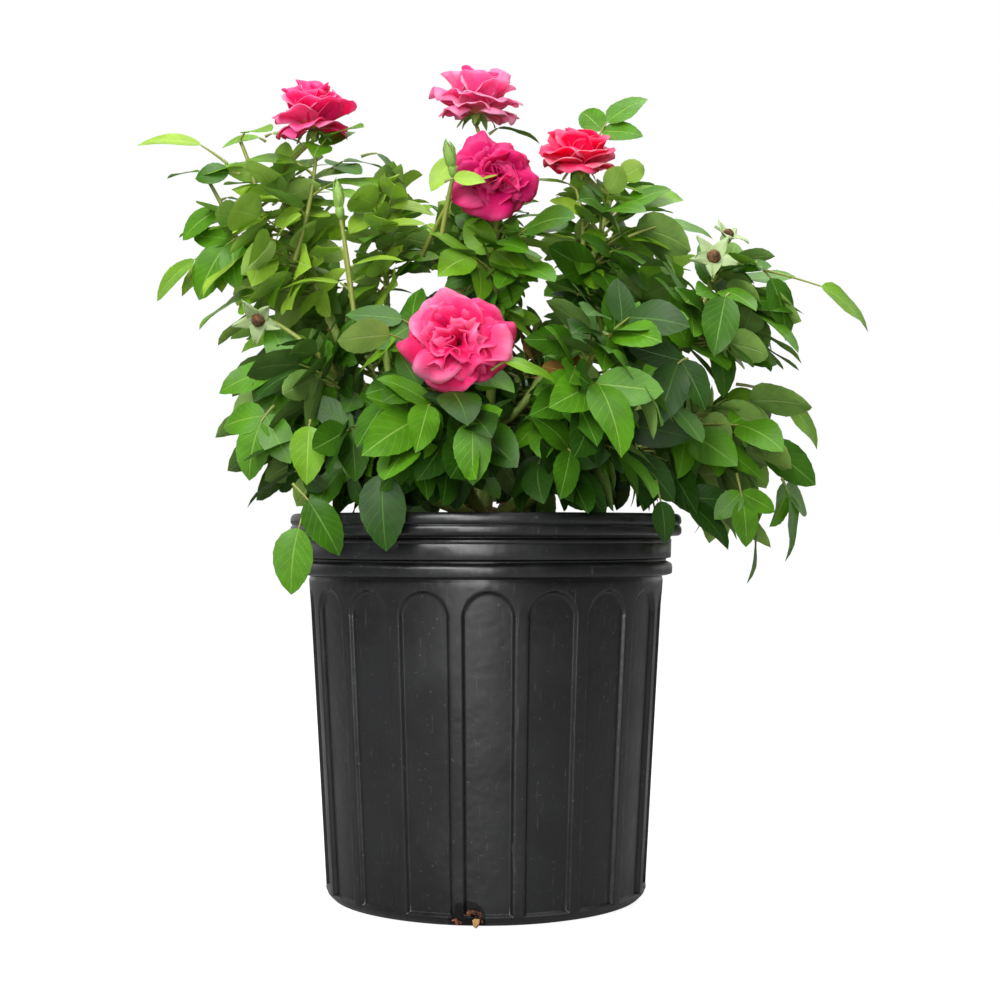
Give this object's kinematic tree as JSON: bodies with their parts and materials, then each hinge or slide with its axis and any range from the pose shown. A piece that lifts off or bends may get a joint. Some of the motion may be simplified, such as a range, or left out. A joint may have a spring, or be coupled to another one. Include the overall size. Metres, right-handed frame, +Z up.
{
  "type": "potted rose bush",
  "caption": "Bushy shrub rose with compound leaves and full pink blooms, growing on several canes in a fluted black nursery pot.",
  "frame": {"origin": "centre of the pot's flat underside, on the surface it stands on", "axes": "+Z up out of the pot, the front of the plant faces -Y, +X to its right as seen from the front"},
  "size_m": [0.47, 0.424, 0.5295],
  "materials": {
    "pot": "black moulded polyethylene with a grey satin haze",
    "potting_mix": "damp composted bark",
    "stems": "smooth green-brown rose bark with small prickles",
    "foliage": "satin green rose leaves, with pink petals"
  },
  "bodies": {
    "root": {"pot": "pot", "potting_mix": "potting_mix", "stem_base": "stems", "cane_right_upper": "stems", "foliage_right_upper": "foliage", "cane_back_right": "stems", "foliage_back_right": "foliage", "cane_back_upper": "stems", "foliage_back_upper": "foliage", "cane_back_left": "stems", "foliage_back_left": "foliage", "cane_upper_left": "stems", "foliage_upper_left": "foliage", "cane_front": "stems", "foliage_front": "foliage", "cane_front_right": "stems", "foliage_front_right": "foliage", "cane_top_centre": "stems", "foliage_top_centre": "foliage", "cane_left": "stems", "foliage_left": "foliage", "bough_upper_right": "stems", "foliage_upper_right": "foliage", "bough_right_lower": "stems", "foliage_right_lower": "foliage", "bough_back_lower": "stems", "foliage_back_lower": "foliage", "bough_centre": "stems", "foliage_centre": "foliage", "bough_upper_middle": "stems", "foliage_upper_middle": "foliage"}
  },
  "joints": []
}
